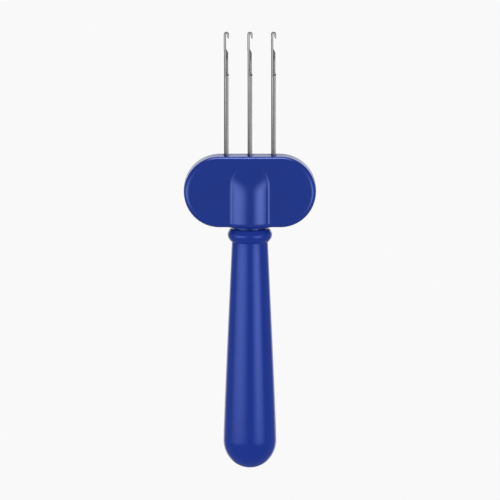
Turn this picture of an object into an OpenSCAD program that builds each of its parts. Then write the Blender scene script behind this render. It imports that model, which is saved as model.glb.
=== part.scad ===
// Latch hook tool with three needles side by side.
// Frame: Z runs along the tool towards the hooks, the front faces -Y, the hooks open towards +X,
// and the origin is the lowest point of the domed butt. Millimetres.

/* [Needles] */
// Distance from one needle to the next
needle_pitch = 9; // [8.8:0.1:10.5]
// Length of a needle above the head, hook included
needle_reach = 47.5; // [40:0.5:60]
// Width of the shank, seen from its flat side
shank_w = 1.92; // [1.8:0.02:2.2]
// Diameter of the round back edge of the shank
spine_d = 1.1; // [1:0.02:1.2]
// Thickness of the flat web in front of the round back edge
web_t = 0.8; // [0.7:0.02:0.95]
// Length of shank held inside the head
root_len = 13; // [10:0.5:14]
// How far the bent butt at the lower end stands out beside the shank
butt_len = 2.4; // [1:0.1:3]
// Height of the bent butt
butt_h = 1.1; // [0.8:0.1:1.6]

/* [Hooks] */
// Thickness of the hook's wire
hook_wire = 0.86; // [0.76:0.02:0.96]
// Width over the hook, from the stem's back to the tip's front
hook_span = 2; // [1.9:0.02:2.3]
// Length from the top of the hook down to its tip
hook_drop = 2.62; // [2.3:0.02:3]
// Diameter of the rounded tip
hook_tip_d = 0.56; // [0.44:0.02:0.64]
// How far the tip leans outwards
hook_flare = 0.14; // [0.08:0.02:0.18]
// Length from the top of the hook down to the shoulder
throat_len = 6.27; // [5.8:0.1:6.8]
// Length of the slanted shoulder below the throat
shoulder_len = 1.75; // [1.2:0.05:2]

/* [Latches] */
// Length from the rivet's axis to the end of the spoon
latch_len = 7.5; // [7.1:0.1:7.6]
// How far a shut latch reaches past the hook's tip
latch_cover = 0.58; // [0.4:0.02:0.8]
// Thickness of the latch blade
latch_t = 0.42; // [0.36:0.02:0.46]
// Width of the latch blade, seen from the needle's flat side
latch_w = 0.6; // [0.5:0.02:0.66]
// Width over the eye round the rivet
latch_eye_d = 1; // [0.9:0.02:1.04]
// Diameter of the spoon at the latch's end
spoon_d = 1.3; // [1.1:0.02:1.4]
// Depth of the spoon from back to rim
spoon_depth = 0.95; // [0.8:0.02:1]
// Diameter of the hollow in the spoon
spoon_bore_d = 0.8; // [0.7:0.02:0.84]
// Depth of the hollow in the spoon
spoon_bore_depth = 0.45; // [0.3:0.02:0.6]
// Diameter of the rivet
rivet_d = 0.6; // [0.5:0.02:0.62]

/* [Head] */
// Width of the head over its two round ends
head_w = 50.6; // [48:0.2:60]
// Height of the head
head_h = 27.1; // [26.5:0.1:30]
// Thickness of the head without the boss
head_t = 12; // [11:0.2:15]
// Rounding of the head's edges
head_edge_r = 1.8; // [1:0.1:2.2]
// Wall of the two shells
shell_wall = 2; // [1.6:0.1:2.2]

/* [Boss] */
// Width of the raised boss over its hollow foot
boss_w = 15.8; // [14:0.1:18]
// Height of the boss above the head's face
boss_proud = 3.1; // [2.8:0.1:3.6]
// Radius of the boss's rounded sides
boss_side_r = 4.2; // [3.4:0.1:4.6]
// Radius of the hollow foot round the boss
boss_foot_r = 2; // [1.4:0.1:2.4]
// Angle at the steepest place between the foot and the side
boss_slope = 53; // [48:1:58]
// Space between the top of the boss and the top of the head
boss_top_gap = 3; // [2.4:0.1:5]

/* [Grip] */
// Length of the shaft from the butt to the bead
shaft_len = 86.8; // [70:0.5:120]
// Diameter of the domed butt
butt_d = 20.2; // [18:0.2:26]
// Diameter of the shaft where it meets the bead
waist_d = 13.8; // [13:0.1:14.6]

/* [Collar] */
// Diameter over the bead
bead_d = 17; // [16.6:0.1:18]
// Radius of the bead's lower side
bead_low_r = 3.2; // [2.8:0.1:4]
// Radius of the bead's upper side
bead_top_r = 2.1; // [1.6:0.1:2.6]
// Diameter of the thin ring under the head
ring_d = 15.6; // [15:0.1:16.2]
// Thickness of the thin ring
ring_h = 1.75; // [1.2:0.05:2.4]
// Rounding of the thin ring's rim
ring_edge_r = 0.5; // [0.2:0.05:0.6]

/* [Tang] */
// Diameter of the steel tang
tang_d = 6; // [5:0.1:6.4]
// Length of tang inside the grip
tang_in_grip = 50; // [35:1:60]
// Length of tang inside the head
tang_in_head = 8.6; // [8:0.1:9]
// Diameter of the pin across the tang
pin_d = 2.5; // [2:0.1:2.6]
// Length of the pin across the tang
pin_len = 9.2; // [8:0.1:9.6]

/* [Needle bed] */
// Bed beside each outer needle
bed_margin = 2.2; // [1.8:0.1:2.4]
// Thickness of the clamp plate
plate_t = 1.2; // [1:0.1:1.4]
// Diameter of the clamp screws
clamp_screw_d = 2; // [1.6:0.1:2.2]
// Diameter of the clamp screws' heads
clamp_head_d = 3.6; // [3.2:0.1:3.8]
// Height of the clamp screws' heads
clamp_head_h = 1.3; // [1:0.1:1.4]
// Depth of the clamp screws in the bed
clamp_bite = 3; // [2:0.1:3.4]

/* [Shell screws] */
// Diameter of the shell screws
shell_screw_d = 2.5; // [2:0.1:2.8]
// Diameter of the shell screws' heads
shell_head_d = 4.6; // [4:0.1:4.8]
// Height of the shell screws' heads
shell_head_h = 1.6; // [1.2:0.1:1.8]
// Diameter of the posts that the shell screws run through
post_d = 7; // [6.6:0.1:8]
// Depth of the shell screws in the front shell
shell_bite = 3.2; // [2.6:0.1:3.6]

/* [Fits] */
// Running clearance of the latch on its rivet, on the radius
rivet_play = 0.02; // [0.01:0.01:0.04]
// Clearance on each side of the latch in its slot
slot_play = 0.05; // [0.03:0.01:0.08]
// Clearance round a resting latch
latch_rest_gap = 0.12; // [0.08:0.01:0.16]
// Clearance of what is laid into a slot, on each side
slip_fit = 0.05; // [0.02:0.01:0.1]
// Clearance round screws and their heads, on the radius
screw_play = 0.2; // [0.1:0.05:0.3]

/* [Hidden] */
$fn = 64;
eps = 0.01;
overcut = 1;
LEFT = -1;
MIDDLE = 0;
RIGHT = 1;
PLASTIC = [0.13, 0.22, 0.55];
DARK_PLASTIC = [0.1, 0.14, 0.3];
STEEL = [0.72, 0.73, 0.74];
ZINC = [0.55, 0.56, 0.58];

// Heights along the tool
butt_r = butt_d / 2;
waist_r = waist_d / 2;
bead_r = bead_d / 2;
ring_r = ring_d / 2;
bead_z = shaft_len + sqrt(pow(bead_low_r, 2) - pow(waist_r - bead_r + bead_low_r, 2));
grip_top = bead_z + sqrt(pow(bead_top_r, 2) - pow(ring_r - bead_r + bead_top_r, 2));
head_bottom = grip_top + ring_h;
head_mid = head_bottom + head_h / 2;
head_top = head_bottom + head_h;
hook_top = head_top + needle_reach;

// The shaft is a cone that touches the round butt
waist_rise = shaft_len - butt_r;
taper = atan2(waist_rise, waist_r) - acos(butt_r / norm([waist_r, waist_rise]));
touch = [butt_r * cos(taper), butt_r + butt_r * sin(taper)];

// Needle, across its flat side from the needle's middle
shank_back = -shank_w / 2;
spine_x = shank_back + spine_d / 2;
stem_x = shank_back + hook_wire / 2;
stem_front = shank_back + hook_wire;
hook_bend_r = (hook_span - hook_wire) / 2;
hook_tip_x = stem_x + 2 * hook_bend_r + hook_flare;
hook_bend_z = hook_top - hook_wire / 2 - hook_bend_r;
hook_tip_z = hook_top - hook_drop + hook_tip_d / 2;
shoulder_top = hook_top - throat_len;
shoulder_bottom = shoulder_top - shoulder_len;
cheek_inset = 0.19;
cheek_front = shank_w / 2 - cheek_inset;
cheek_low_front = 0.3;
cheek_slant = 0.5;
shoulder_lip = 0.1;

// Latch and rivet
rivet_x = 0.15;
latch_eye_r = latch_eye_d / 2;
rivet_z = hook_top - hook_drop - latch_len + latch_cover;
slot_w = latch_t + 2 * slot_play;
slot_x = rivet_x - latch_eye_r - slot_play;
slot_bottom = rivet_z - latch_len - latch_rest_gap;
cheek_below_eye = 0.6;
cheek_bottom = rivet_z - latch_eye_r - cheek_below_eye;
spoon_front = shank_w / 2;
spoon_back = spoon_front - spoon_depth;
spoon_z = rivet_z - latch_len + spoon_d / 2;
spoon_relief_top = spoon_z + spoon_d / 2 + latch_rest_gap;
blade_inset = 0.03;
blade_front = cheek_front - blade_inset;
blade_root = 1.6;

// Head
head_r = head_h / 2;
head_end_x = head_w / 2 - head_r;
half_t = head_t / 2;
cavity_depth = half_t - shell_wall;
boss_half = boss_w / 2;
boss_arch = head_r - boss_top_gap - boss_half;
boss_run = boss_half - (boss_side_r + boss_foot_r) * sin(boss_slope);
boss_climb = boss_proud - (boss_side_r + boss_foot_r) * (1 - cos(boss_slope));
boss_join = 2 * atan(boss_climb / boss_run);
boss_crown_r = boss_side_r + boss_run / sin(boss_join);
boss_join_x = boss_crown_r * sin(boss_join);
boss_join_h = boss_proud - boss_crown_r * (1 - cos(boss_join));
boss_side_x = boss_join_x - boss_side_r * sin(boss_join);
boss_side_h = boss_join_h - boss_side_r * cos(boss_join);
boss_turn_x = boss_half - boss_foot_r * sin(boss_slope);
boss_turn_h = boss_foot_r * (1 - cos(boss_slope));
boss_foot_cut = 0.01;

// Tang and the block that holds it
tang_r = tang_d / 2;
tang_top = head_bottom + tang_in_head;
socket_wall = 3;
socket_roof = 1.2;
socket_half = tang_r + socket_wall;
socket_top = tang_top + socket_roof;
pin_z = head_bottom + tang_in_head / 2;
peg_d = 1.6;
peg_len = 1.5;
peg_rise = 5.6;
peg_x = (tang_r + socket_half) / 2;
peg_z = head_bottom + peg_rise;

// Needle bed
bed_half = needle_pitch + bed_margin;
bed_top = head_top - shell_wall - slip_fit;
bed_front = spine_d / 2 - slip_fit;
groove_depth = spine_d + spine_d / 2 + slip_fit;
butt_z = head_top - root_len;
plate_inset = 0.8;
plate_half = bed_half - plate_inset;
plate_bottom = socket_top + plate_inset;
plate_top = bed_top - plate_inset;
plate_front = spine_d / 2 + plate_t;
clamp_screw_x = needle_pitch / 2;
clamp_screw_z = (plate_bottom + plate_top) / 2;
clamp_hex_d = 1.5;
pad_w = 2.2;
pad_inset = 1;

// Shell screws
post_x = (bed_half + head_w / 2 - shell_wall) / 2;
post_r = post_d / 2;
shell_head_sunk = 0.4;
counterbore_depth = shell_head_h + shell_head_sunk;
shell_cross_w = 0.6;
shell_cross_len = 2.6;
shell_cross_depth = 0.9;

// Turns a flat drawing of the head, with its thickness upwards, to the front or the back
module facing(back = false) {
    translate([0, 0, head_mid]) rotate([90, 0, back ? 180 : 0]) children();
}

// Half of an edge-rounded slab, seen from its end
module slab_section(half_width, depth, edge_r) {
    square([half_width - edge_r, depth]);
    square([half_width, depth - edge_r]);
    translate([half_width - edge_r, depth - edge_r]) circle(r = edge_r);
}

// Plate with round ends and one rounded rim
module round_ended_plate(end_x, radius, depth, edge_r) {
    for (side = [-1, 1]) translate([side * end_x, 0, 0]) {
        rotate_extrude() slab_section(radius, depth, edge_r);
    }
    translate([end_x, 0, 0]) rotate([90, 0, -90]) linear_extrude(2 * end_x) {
        slab_section(radius, depth, edge_r);
        mirror([1, 0]) slab_section(radius, depth, edge_r);
    }
}

// Plain prism with round ends
module round_ended_block(end_x, radius, depth) {
    for (side = [-1, 1]) translate([side * end_x, 0, 0]) cylinder(r = radius, h = depth);
    translate([-end_x, -radius, 0]) cube([2 * end_x, 2 * radius, depth]);
}

// Half of the boss's outline above the head's face: a wide crown, a tighter side and a hollow foot
module boss_section() {
    difference() {
        union() {
            polygon([[0, -shell_wall], [boss_half, -shell_wall], [boss_half, 0],
                [boss_turn_x, boss_turn_h], [boss_join_x, boss_join_h], [0, boss_join_h]]);
            translate([boss_side_x, boss_side_h]) intersection() {
                circle(r = boss_side_r);
                polygon([[0, 0], 2 * boss_side_r * [sin(boss_join), cos(boss_join)],
                    2 * boss_side_r * [sin(boss_slope), cos(boss_slope)]]);
            }
        }
        translate([boss_half, boss_foot_r]) circle(r = boss_foot_r + boss_foot_cut);
    }
    intersection() {
        translate([0, boss_proud - boss_crown_r]) circle(r = boss_crown_r, $fn = 128);
        translate([0, boss_join_h - eps]) square([boss_join_x, boss_proud]);
    }
}

module boss() {
    translate([0, boss_arch, half_t]) rotate_extrude() boss_section();
    translate([0, boss_arch, half_t]) rotate([90, 0, 0]) linear_extrude(head_r + boss_arch) {
        boss_section();
        mirror([1, 0]) boss_section();
    }
}

// One half of the head, lying on its parting face
module half_shell() {
    difference() {
        union() {
            difference() {
                union() {
                    round_ended_plate(head_end_x, head_r, half_t, head_edge_r);
                    boss();
                }
                translate([0, 0, -eps])
                    round_ended_block(head_end_x, head_r - shell_wall, cavity_depth + eps);
            }
            for (side = [-1, 1]) translate([side * post_x, 0, 0]) {
                cylinder(r = post_r, h = cavity_depth + eps);
            }
            translate([-socket_half, -head_r + shell_wall / 2, 0])
                cube([2 * socket_half, socket_top - head_bottom - shell_wall / 2, cavity_depth + eps]);
        }
        tang_channel();
        needle_windows();
    }
}

// Half round channel for the tang, and the hole for the pin across it
module tang_channel() {
    translate([0, -head_r - overcut, 0]) rotate([-90, 0, 0])
        cylinder(r = tang_r, h = tang_in_head + overcut);
    translate([0, pin_z - head_mid, -overcut]) cylinder(d = pin_d, h = pin_len / 2 + overcut);
}

// Openings in the top wall that the shanks pass through
module needle_windows() {
    for (side = [LEFT, MIDDLE, RIGHT]) {
        translate([side * needle_pitch - shank_w / 2 - slip_fit, head_r - shell_wall - overcut, -overcut])
            cube([shank_w + 2 * slip_fit, shell_wall + 2 * overcut, spine_d / 2 + slip_fit + overcut]);
    }
}

module head_front_shell() {
    color(PLASTIC) facing() {
        difference() {
            half_shell();
            for (side = [-1, 1]) translate([side * post_x, 0, -eps]) {
                cylinder(d = shell_screw_d, h = shell_bite + screw_play);
            }
        }
        for (side = [LEFT, MIDDLE, RIGHT]) {
            translate([side * needle_pitch - pad_w / 2, plate_bottom + pad_inset - head_mid, plate_front])
                cube([pad_w, plate_top - plate_bottom - 2 * pad_inset, cavity_depth - plate_front + eps]);
        }
        for (side = [-1, 1]) translate([side * peg_x, peg_z - head_mid, -peg_len]) {
            cylinder(d = peg_d, h = peg_len + eps);
        }
    }
}

module head_back_shell() {
    color(PLASTIC) facing(back = true) difference() {
        half_shell();
        for (side = [-1, 1]) translate([side * post_x, 0, 0]) {
            translate([0, 0, -eps]) cylinder(r = shell_screw_d / 2 + screw_play, h = head_t);
            translate([0, 0, half_t - counterbore_depth])
                cylinder(r = shell_head_d / 2 + screw_play, h = head_t);
        }
        for (side = [-1, 1]) translate([side * peg_x, peg_z - head_mid, -eps]) {
            cylinder(r = peg_d / 2 + slip_fit, h = peg_len + slip_fit);
        }
    }
}

module shell_screws() {
    seat = half_t - counterbore_depth;
    color(ZINC) facing(back = true) for (side = [-1, 1]) translate([side * post_x, 0, 0]) difference() {
        union() {
            translate([0, 0, -shell_bite]) cylinder(d = shell_screw_d, h = shell_bite + seat + eps);
            translate([0, 0, seat]) cylinder(d = shell_head_d, h = shell_head_h);
        }
        for (turn = [0, 90]) rotate([0, 0, turn])
            translate([-shell_cross_len / 2, -shell_cross_w / 2, seat + shell_head_h - shell_cross_depth])
            cube([shell_cross_len, shell_cross_w, shell_cross_depth + overcut]);
    }
}

module needle_bed() {
    color(DARK_PLASTIC) difference() {
        translate([-bed_half, -bed_front, socket_top])
            cube([2 * bed_half, bed_front + cavity_depth, bed_top - socket_top]);
        for (side = [LEFT, MIDDLE, RIGHT]) translate([side * needle_pitch, 0, 0]) {
            translate([-shank_w / 2 - slip_fit, -spine_d, butt_z - slip_fit])
                cube([shank_w + 2 * slip_fit, groove_depth, head_h]);
            translate([0, -spine_d, butt_z - slip_fit])
                cube([shank_w / 2 + butt_len + slip_fit, groove_depth, butt_h + 2 * slip_fit]);
        }
        for (side = [-1, 1]) translate([side * clamp_screw_x, 0, clamp_screw_z]) rotate([-90, 0, 0]) {
            translate([0, 0, -head_t]) cylinder(d = clamp_screw_d, h = head_t + clamp_bite - bed_front);
        }
    }
}

module clamp_plate() {
    color(ZINC) difference() {
        translate([-plate_half, -plate_front, plate_bottom])
            cube([2 * plate_half, plate_t, plate_top - plate_bottom]);
        for (side = [-1, 1]) translate([side * clamp_screw_x, 0, clamp_screw_z]) rotate([90, 0, 0]) {
            cylinder(r = clamp_screw_d / 2 + screw_play, h = head_t);
        }
    }
}

module clamp_screws() {
    color(ZINC) for (side = [-1, 1]) translate([side * clamp_screw_x, 0, clamp_screw_z]) {
        rotate([90, 0, 0]) difference() {
            union() {
                translate([0, 0, bed_front - clamp_bite])
                    cylinder(d = clamp_screw_d, h = clamp_bite - bed_front + plate_front + eps);
                translate([0, 0, plate_front]) cylinder(d = clamp_head_d, h = clamp_head_h);
            }
            translate([0, 0, plate_front + clamp_head_h / 2])
                cylinder(d = clamp_hex_d, h = clamp_head_h, $fn = 6);
        }
    }
}

module tang() {
    color(STEEL) translate([0, 0, grip_top - tang_in_grip]) difference() {
        cylinder(r = tang_r, h = tang_top - grip_top + tang_in_grip);
        translate([0, tang_d, pin_z - grip_top + tang_in_grip]) rotate([90, 0, 0])
            cylinder(d = pin_d, h = 2 * tang_d);
    }
}

module tang_pin() {
    color(ZINC) translate([0, pin_len / 2, pin_z]) rotate([90, 0, 0]) cylinder(d = pin_d, h = pin_len);
}

// Half of the grip's outline, from its axis outwards
module grip_section() {
    intersection() {
        translate([0, butt_r]) circle(r = butt_r, $fn = 128);
        square([butt_d, touch[1]]);
    }
    polygon([[0, touch[1] - eps], touch, [waist_r, shaft_len], [waist_r, bead_z], [0, bead_z]]);
    intersection() {
        translate([bead_r - bead_low_r, bead_z]) circle(r = bead_low_r);
        translate([0, bead_z - bead_low_r]) square([bead_r, bead_low_r]);
    }
    intersection() {
        union() {
            translate([bead_r - bead_top_r, bead_z]) circle(r = bead_top_r);
            square([bead_r - bead_top_r, grip_top]);
        }
        translate([0, bead_z - eps]) square([bead_r, grip_top - bead_z + eps]);
    }
}

module grip() {
    color(PLASTIC) difference() {
        rotate_extrude($fn = 128) grip_section();
        translate([0, 0, grip_top - tang_in_grip]) cylinder(r = tang_r, h = tang_in_grip + overcut);
    }
}

module neck_ring() {
    color(PLASTIC) translate([0, 0, grip_top]) rotate_extrude($fn = 128) {
        translate([tang_r, 0]) square([ring_r - ring_edge_r - tang_r, ring_h]);
        translate([tang_r, ring_edge_r]) square([ring_r - tang_r, ring_h - 2 * ring_edge_r]);
        for (height = [ring_edge_r, ring_h - ring_edge_r]) {
            translate([ring_r - ring_edge_r, height]) circle(r = ring_edge_r);
        }
    }
}

// Round back edge with a flat web in front of it, seen along the needle
module shank_section() {
    translate([spine_x, 0]) circle(d = spine_d);
    translate([spine_x, -web_t / 2]) square([shank_w / 2 - spine_x, web_t]);
}

// Cheeks that carry the rivet, and the slanted shoulder above them, from the needle's flat side
module cheek_outline() {
    polygon([[spine_x, slot_bottom], [cheek_low_front, slot_bottom],
        [cheek_low_front, cheek_bottom - cheek_slant], [cheek_front, cheek_bottom],
        [cheek_front, shoulder_bottom], [stem_front - shoulder_lip, shoulder_top],
        [spine_x, shoulder_top]]);
}

module hook() {
    translate([stem_x, 0, shoulder_bottom]) cylinder(d = hook_wire, h = hook_bend_z - shoulder_bottom);
    translate([stem_x + hook_bend_r, 0, hook_bend_z]) rotate([90, 0, 0])
        rotate_extrude(angle = 180) translate([hook_bend_r, 0]) circle(d = hook_wire);
    translate([stem_x + 2 * hook_bend_r, 0, hook_bend_z]) hook_tip();
}

// Tapered end of the wire, leaning outwards
module hook_tip() {
    rise = hook_bend_z - hook_tip_z;
    reach = norm([hook_flare, rise]);
    sphere(d = hook_wire);
    rotate([0, 180 - atan2(hook_flare, rise), 0]) {
        cylinder(d1 = hook_wire, d2 = hook_tip_d, h = reach);
        translate([0, 0, reach]) sphere(d = hook_tip_d);
    }
}

module needle(place) {
    color(STEEL) translate([place * needle_pitch, 0, 0]) {
        difference() {
            union() {
                translate([0, 0, butt_z]) linear_extrude(slot_bottom - butt_z) shank_section();
                translate([spine_x, 0, slot_bottom])
                    cylinder(d = spine_d, h = shoulder_bottom - slot_bottom);
                translate([spine_x, 0, shoulder_bottom])
                    cylinder(d1 = spine_d, d2 = hook_wire, h = shoulder_top - shoulder_bottom);
                translate([0, spine_d / 2, 0]) rotate([90, 0, 0]) linear_extrude(spine_d) cheek_outline();
                hook();
            }
            translate([slot_x, -slot_w / 2, slot_bottom])
                cube([shank_w, slot_w, shoulder_bottom - slot_bottom]);
            translate([stem_front - slot_play, -slot_w / 2, slot_bottom])
                cube([shank_w, slot_w, shoulder_top + overcut - slot_bottom]);
            translate([spoon_back - latch_rest_gap, -shank_w, slot_bottom])
                cube([shank_w, 2 * shank_w, spoon_relief_top - slot_bottom]);
            translate([rivet_x, shank_w, rivet_z]) rotate([90, 0, 0])
                cylinder(d = rivet_d, h = 2 * shank_w);
        }
        translate([0, -web_t / 2, butt_z]) cube([shank_w / 2 + butt_len, web_t, butt_h]);
    }
}

module needle_left() { needle(LEFT); }
module needle_middle() { needle(MIDDLE); }
module needle_right() { needle(RIGHT); }

module rivet(place) {
    color(STEEL) translate([place * needle_pitch + rivet_x, spine_d / 2, rivet_z]) rotate([90, 0, 0])
        cylinder(d = rivet_d, h = spine_d);
}

module rivet_left() { rivet(LEFT); }
module rivet_middle() { rivet(MIDDLE); }
module rivet_right() { rivet(RIGHT); }

// Latch blade and its widening at the eye, from the needle's flat side
module blade_outline() {
    polygon([[rivet_x - latch_eye_r, rivet_z], [rivet_x + latch_eye_r, rivet_z],
        [blade_front, rivet_z - blade_root], [blade_front, spoon_z],
        [blade_front - latch_w, spoon_z], [blade_front - latch_w, rivet_z - latch_eye_d]]);
}

// Latch hanging open, with its eye on the rivet and the spoon's hollow facing +X
module latch(place) {
    color(STEEL) translate([place * needle_pitch, 0, 0]) difference() {
        union() {
            translate([rivet_x, latch_t / 2, rivet_z]) rotate([90, 0, 0])
                cylinder(d = latch_eye_d, h = latch_t);
            translate([0, latch_t / 2, 0]) rotate([90, 0, 0]) linear_extrude(latch_t) blade_outline();
            translate([spoon_back, 0, spoon_z]) rotate([0, 90, 0]) cylinder(d = spoon_d, h = spoon_depth);
        }
        translate([spoon_front - spoon_bore_depth, 0, spoon_z]) rotate([0, 90, 0])
            cylinder(d = spoon_bore_d, h = spoon_depth);
        translate([rivet_x, latch_t, rivet_z]) rotate([90, 0, 0])
            cylinder(r = rivet_d / 2 + rivet_play, h = 2 * latch_t);
    }
}

module latch_left() { latch(LEFT); }
module latch_middle() { latch(MIDDLE); }
module latch_right() { latch(RIGHT); }

grip();
neck_ring();
tang();
tang_pin();
head_front_shell();
head_back_shell();
shell_screws();
needle_bed();
clamp_plate();
clamp_screws();
needle_left();
needle_middle();
needle_right();
rivet_left();
rivet_middle();
rivet_right();
latch_left();
latch_middle();
latch_right();
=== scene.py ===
"""Latch hook tool: three latch needles held in one blue moulded handle.

Sizes are in millimetres in the classes below, in the frame of the CAD: X to the right, Y away from
the viewer and Z along the needles. Every mesh is brought to metres when its piece is finished.
"""

import logging
import math
from dataclasses import dataclass, replace
from enum import Enum

import bmesh
import bpy
from bmesh.types import BMEdge, BMesh, BMFace, BMVert
from bpy.types import Material, Node, NodeSocket, NodeTree, Object
from mathutils import Matrix, Vector


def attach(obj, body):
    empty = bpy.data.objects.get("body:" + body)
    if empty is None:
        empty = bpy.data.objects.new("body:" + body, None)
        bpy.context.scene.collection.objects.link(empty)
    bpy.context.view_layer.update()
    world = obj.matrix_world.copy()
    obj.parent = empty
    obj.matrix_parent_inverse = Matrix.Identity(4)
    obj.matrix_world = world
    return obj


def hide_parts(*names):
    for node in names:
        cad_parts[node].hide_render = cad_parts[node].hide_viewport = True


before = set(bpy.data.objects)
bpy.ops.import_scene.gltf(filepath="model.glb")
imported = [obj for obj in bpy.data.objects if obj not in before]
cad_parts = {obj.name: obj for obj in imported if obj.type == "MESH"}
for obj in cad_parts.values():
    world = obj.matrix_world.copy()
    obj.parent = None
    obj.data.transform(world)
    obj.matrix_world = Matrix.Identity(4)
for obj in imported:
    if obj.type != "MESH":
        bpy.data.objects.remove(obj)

LOG = logging.getLogger("latch_hook_tool")
Triple = tuple[float, float, float]  # a colour, a point or a size along X, Y and Z
METRES = 0.001  # metres in one millimetre
CLOSE = 1e-4  # points that lie nearer than this, in millimetres, are one point
X_AXIS, Y_AXIS, Z_AXIS = Vector((1, 0, 0)), Vector((0, 1, 0)), Vector((0, 0, 1))
ANTICLOCKWISE = Vector((0, -1, 0))  # turns X towards Z, as seen from the front
CORNER = math.radians(20)  # a plate's edges that turn more than this are rounded
ROLLED = "rolled"  # the vertex attribute for the lighter, duller polish of flat steel
PAINTED_DARK = "painted_dark"  # the vertex attribute for where steel is painted near black: painted shade on the wire's flanks, standing in for dark reflections, and half of it on the spoon
MIX_FACTOR, MIX_FIRST, MIX_SECOND, MIX_ANSWER = 0, 6, 7, 2  # a Mix node's sockets for colours
NOISE = (0.3, 0.7)  # most of a slow noise's values lie between these
GRAIN_NOISE = (0.25, 0.75)  # and most of a fine one's between these
WATTS = 4  # what an area lamp of one square metre takes for a radiance of one


class Slot(Enum):
    """The record's material slots, named here but not given to any piece."""

    BLUE = "blue_plastic"
    NEEDLE = "needle_steel"
    BRIGHT = "bright_steel"
    ZINC = "zinc_steel"


class Place(Enum):
    """Where a needle stands in the head, in needle pitches from its middle."""

    LEFT = -1
    MIDDLE = 0
    RIGHT = 1

    @property
    def word(self) -> str:
        """The place's name as the CAD nodes spell it."""
        return self.name.lower()


class Side(Enum):
    """Which way a cover faces, as its turn about Z in degrees."""

    FRONT = 0
    BACK = 180


# ---------------------------------------------------------------------------------------------
# Shaping tools


class Chain:
    """A line of edges drawn vertex by vertex, that an operator later turns into a surface."""

    def __init__(self, bm: BMesh, start: Vector) -> None:
        """Start the line.

        Args:
            bm: the bmesh that the line is drawn in.
            start: where it starts, in millimetres.
        """
        self.bm = bm
        self.first = self.tip = bm.verts.new(start)
        self.edges: list[BMEdge] = []

    def line(self, *points: Vector) -> "Chain":
        """Add straight runs to each of the points.

        Args:
            points: the ends of the runs, in order.

        Returns:
            The chain itself, so that calls can follow each other.
        """
        for point in points:
            made = bmesh.ops.extrude_vert_indiv(self.bm, verts=[self.tip])
            self.tip = made["verts"][0]
            self.tip.co = point
            self.edges += made["edges"]
        return self

    def arc(
        self, centre: Vector, degrees: float, steps: int, axis: Vector = ANTICLOCKWISE,
    ) -> "Chain":
        """Add an arc that starts at the line's tip.

        Args:
            centre: the arc's centre.
            degrees: how far it turns about the axis.
            steps: how many edges it has.
            axis: the axis it turns about.

        Returns:
            The chain itself.
        """
        known = set(self.bm.edges)
        made = bmesh.ops.spin(
            self.bm, geom=[self.tip], cent=centre, axis=axis, dvec=(0, 0, 0),
            angle=math.radians(degrees), steps=steps, space=Matrix.Identity(4),
            use_merge=False, use_normal_flip=False, use_duplicate=False,
        )
        self.tip = next(v for v in made["geom_last"] if isinstance(v, BMVert))
        self.edges += [e for e in self.bm.edges if e not in known]
        return self

    def close(self) -> "Chain":
        """Join the tip to the start."""
        self.edges.append(self.bm.edges.new((self.tip, self.first)))
        return self

    def fill(self) -> list[BMFace]:
        """Fill the closed line with one flat face."""
        return bmesh.ops.edgeloop_fill(self.bm, edges=self.edges)["faces"]


def full_turn(bm: BMesh, chain: Chain, steps: int) -> None:
    """Spin a chain all the way round the Z axis.

    Args:
        bm: the bmesh that holds the chain.
        chain: the outline.
        steps: how many faces go round.
    """
    verts = {v for e in chain.edges for v in e.verts}
    bmesh.ops.spin(
        bm, geom=list(verts) + chain.edges, cent=Vector(), axis=Z_AXIS, dvec=(0, 0, 0),
        angle=math.tau, steps=steps, space=Matrix.Identity(4),
        use_merge=True, use_normal_flip=False, use_duplicate=False,
    )
    bmesh.ops.remove_doubles(bm, verts=bm.verts[:], dist=CLOSE)


def soften(bm: BMesh, edges: list[BMEdge], radius: float, segments: int) -> None:
    """Round edges.

    Args:
        bm: the bmesh.
        edges: which edges.
        radius: how far the rounding reaches from each edge.
        segments: how many faces go across it.
    """
    bmesh.ops.bevel(
        bm, geom=edges, offset=radius, offset_type="OFFSET", segments=segments, profile=0.5,
        affect="EDGES", material=-1, clamp_overlap=False, loop_slide=True,
    )


def at(x: float, z: float) -> Vector:
    """A point of an outline that is drawn in the XZ plane."""
    return Vector((x, 0, z))


def held(value: float) -> float:
    """A value kept between nought and one."""
    return min(max(value, 0.0), 1.0)


def shift(bm: BMesh, by: Vector) -> None:
    """Move a whole shape."""
    bmesh.ops.translate(bm, vec=by, verts=bm.verts[:])


def turn_over(bm: BMesh, degrees: float, axis: str) -> None:
    """Turn a whole shape about one of the frame's axes."""
    matrix = Matrix.Rotation(math.radians(degrees), 3, axis)
    bmesh.ops.rotate(bm, cent=Vector(), matrix=matrix, verts=bm.verts[:])


def pulled(bm: BMesh, edges: list[BMEdge], by: Vector) -> list[BMEdge]:
    """Extrude edges and move the new ones.

    Args:
        bm: the bmesh.
        edges: which edges.
        by: how far the new ones move.

    Returns:
        The new edges.
    """
    made = bmesh.ops.extrude_edge_only(bm, edges=edges)
    new = {g for g in made["geom"] if isinstance(g, BMVert)}
    bmesh.ops.translate(bm, vec=by, verts=list(new))
    return [g for g in made["geom"] if isinstance(g, BMEdge) and set(g.verts) <= new]


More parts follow.
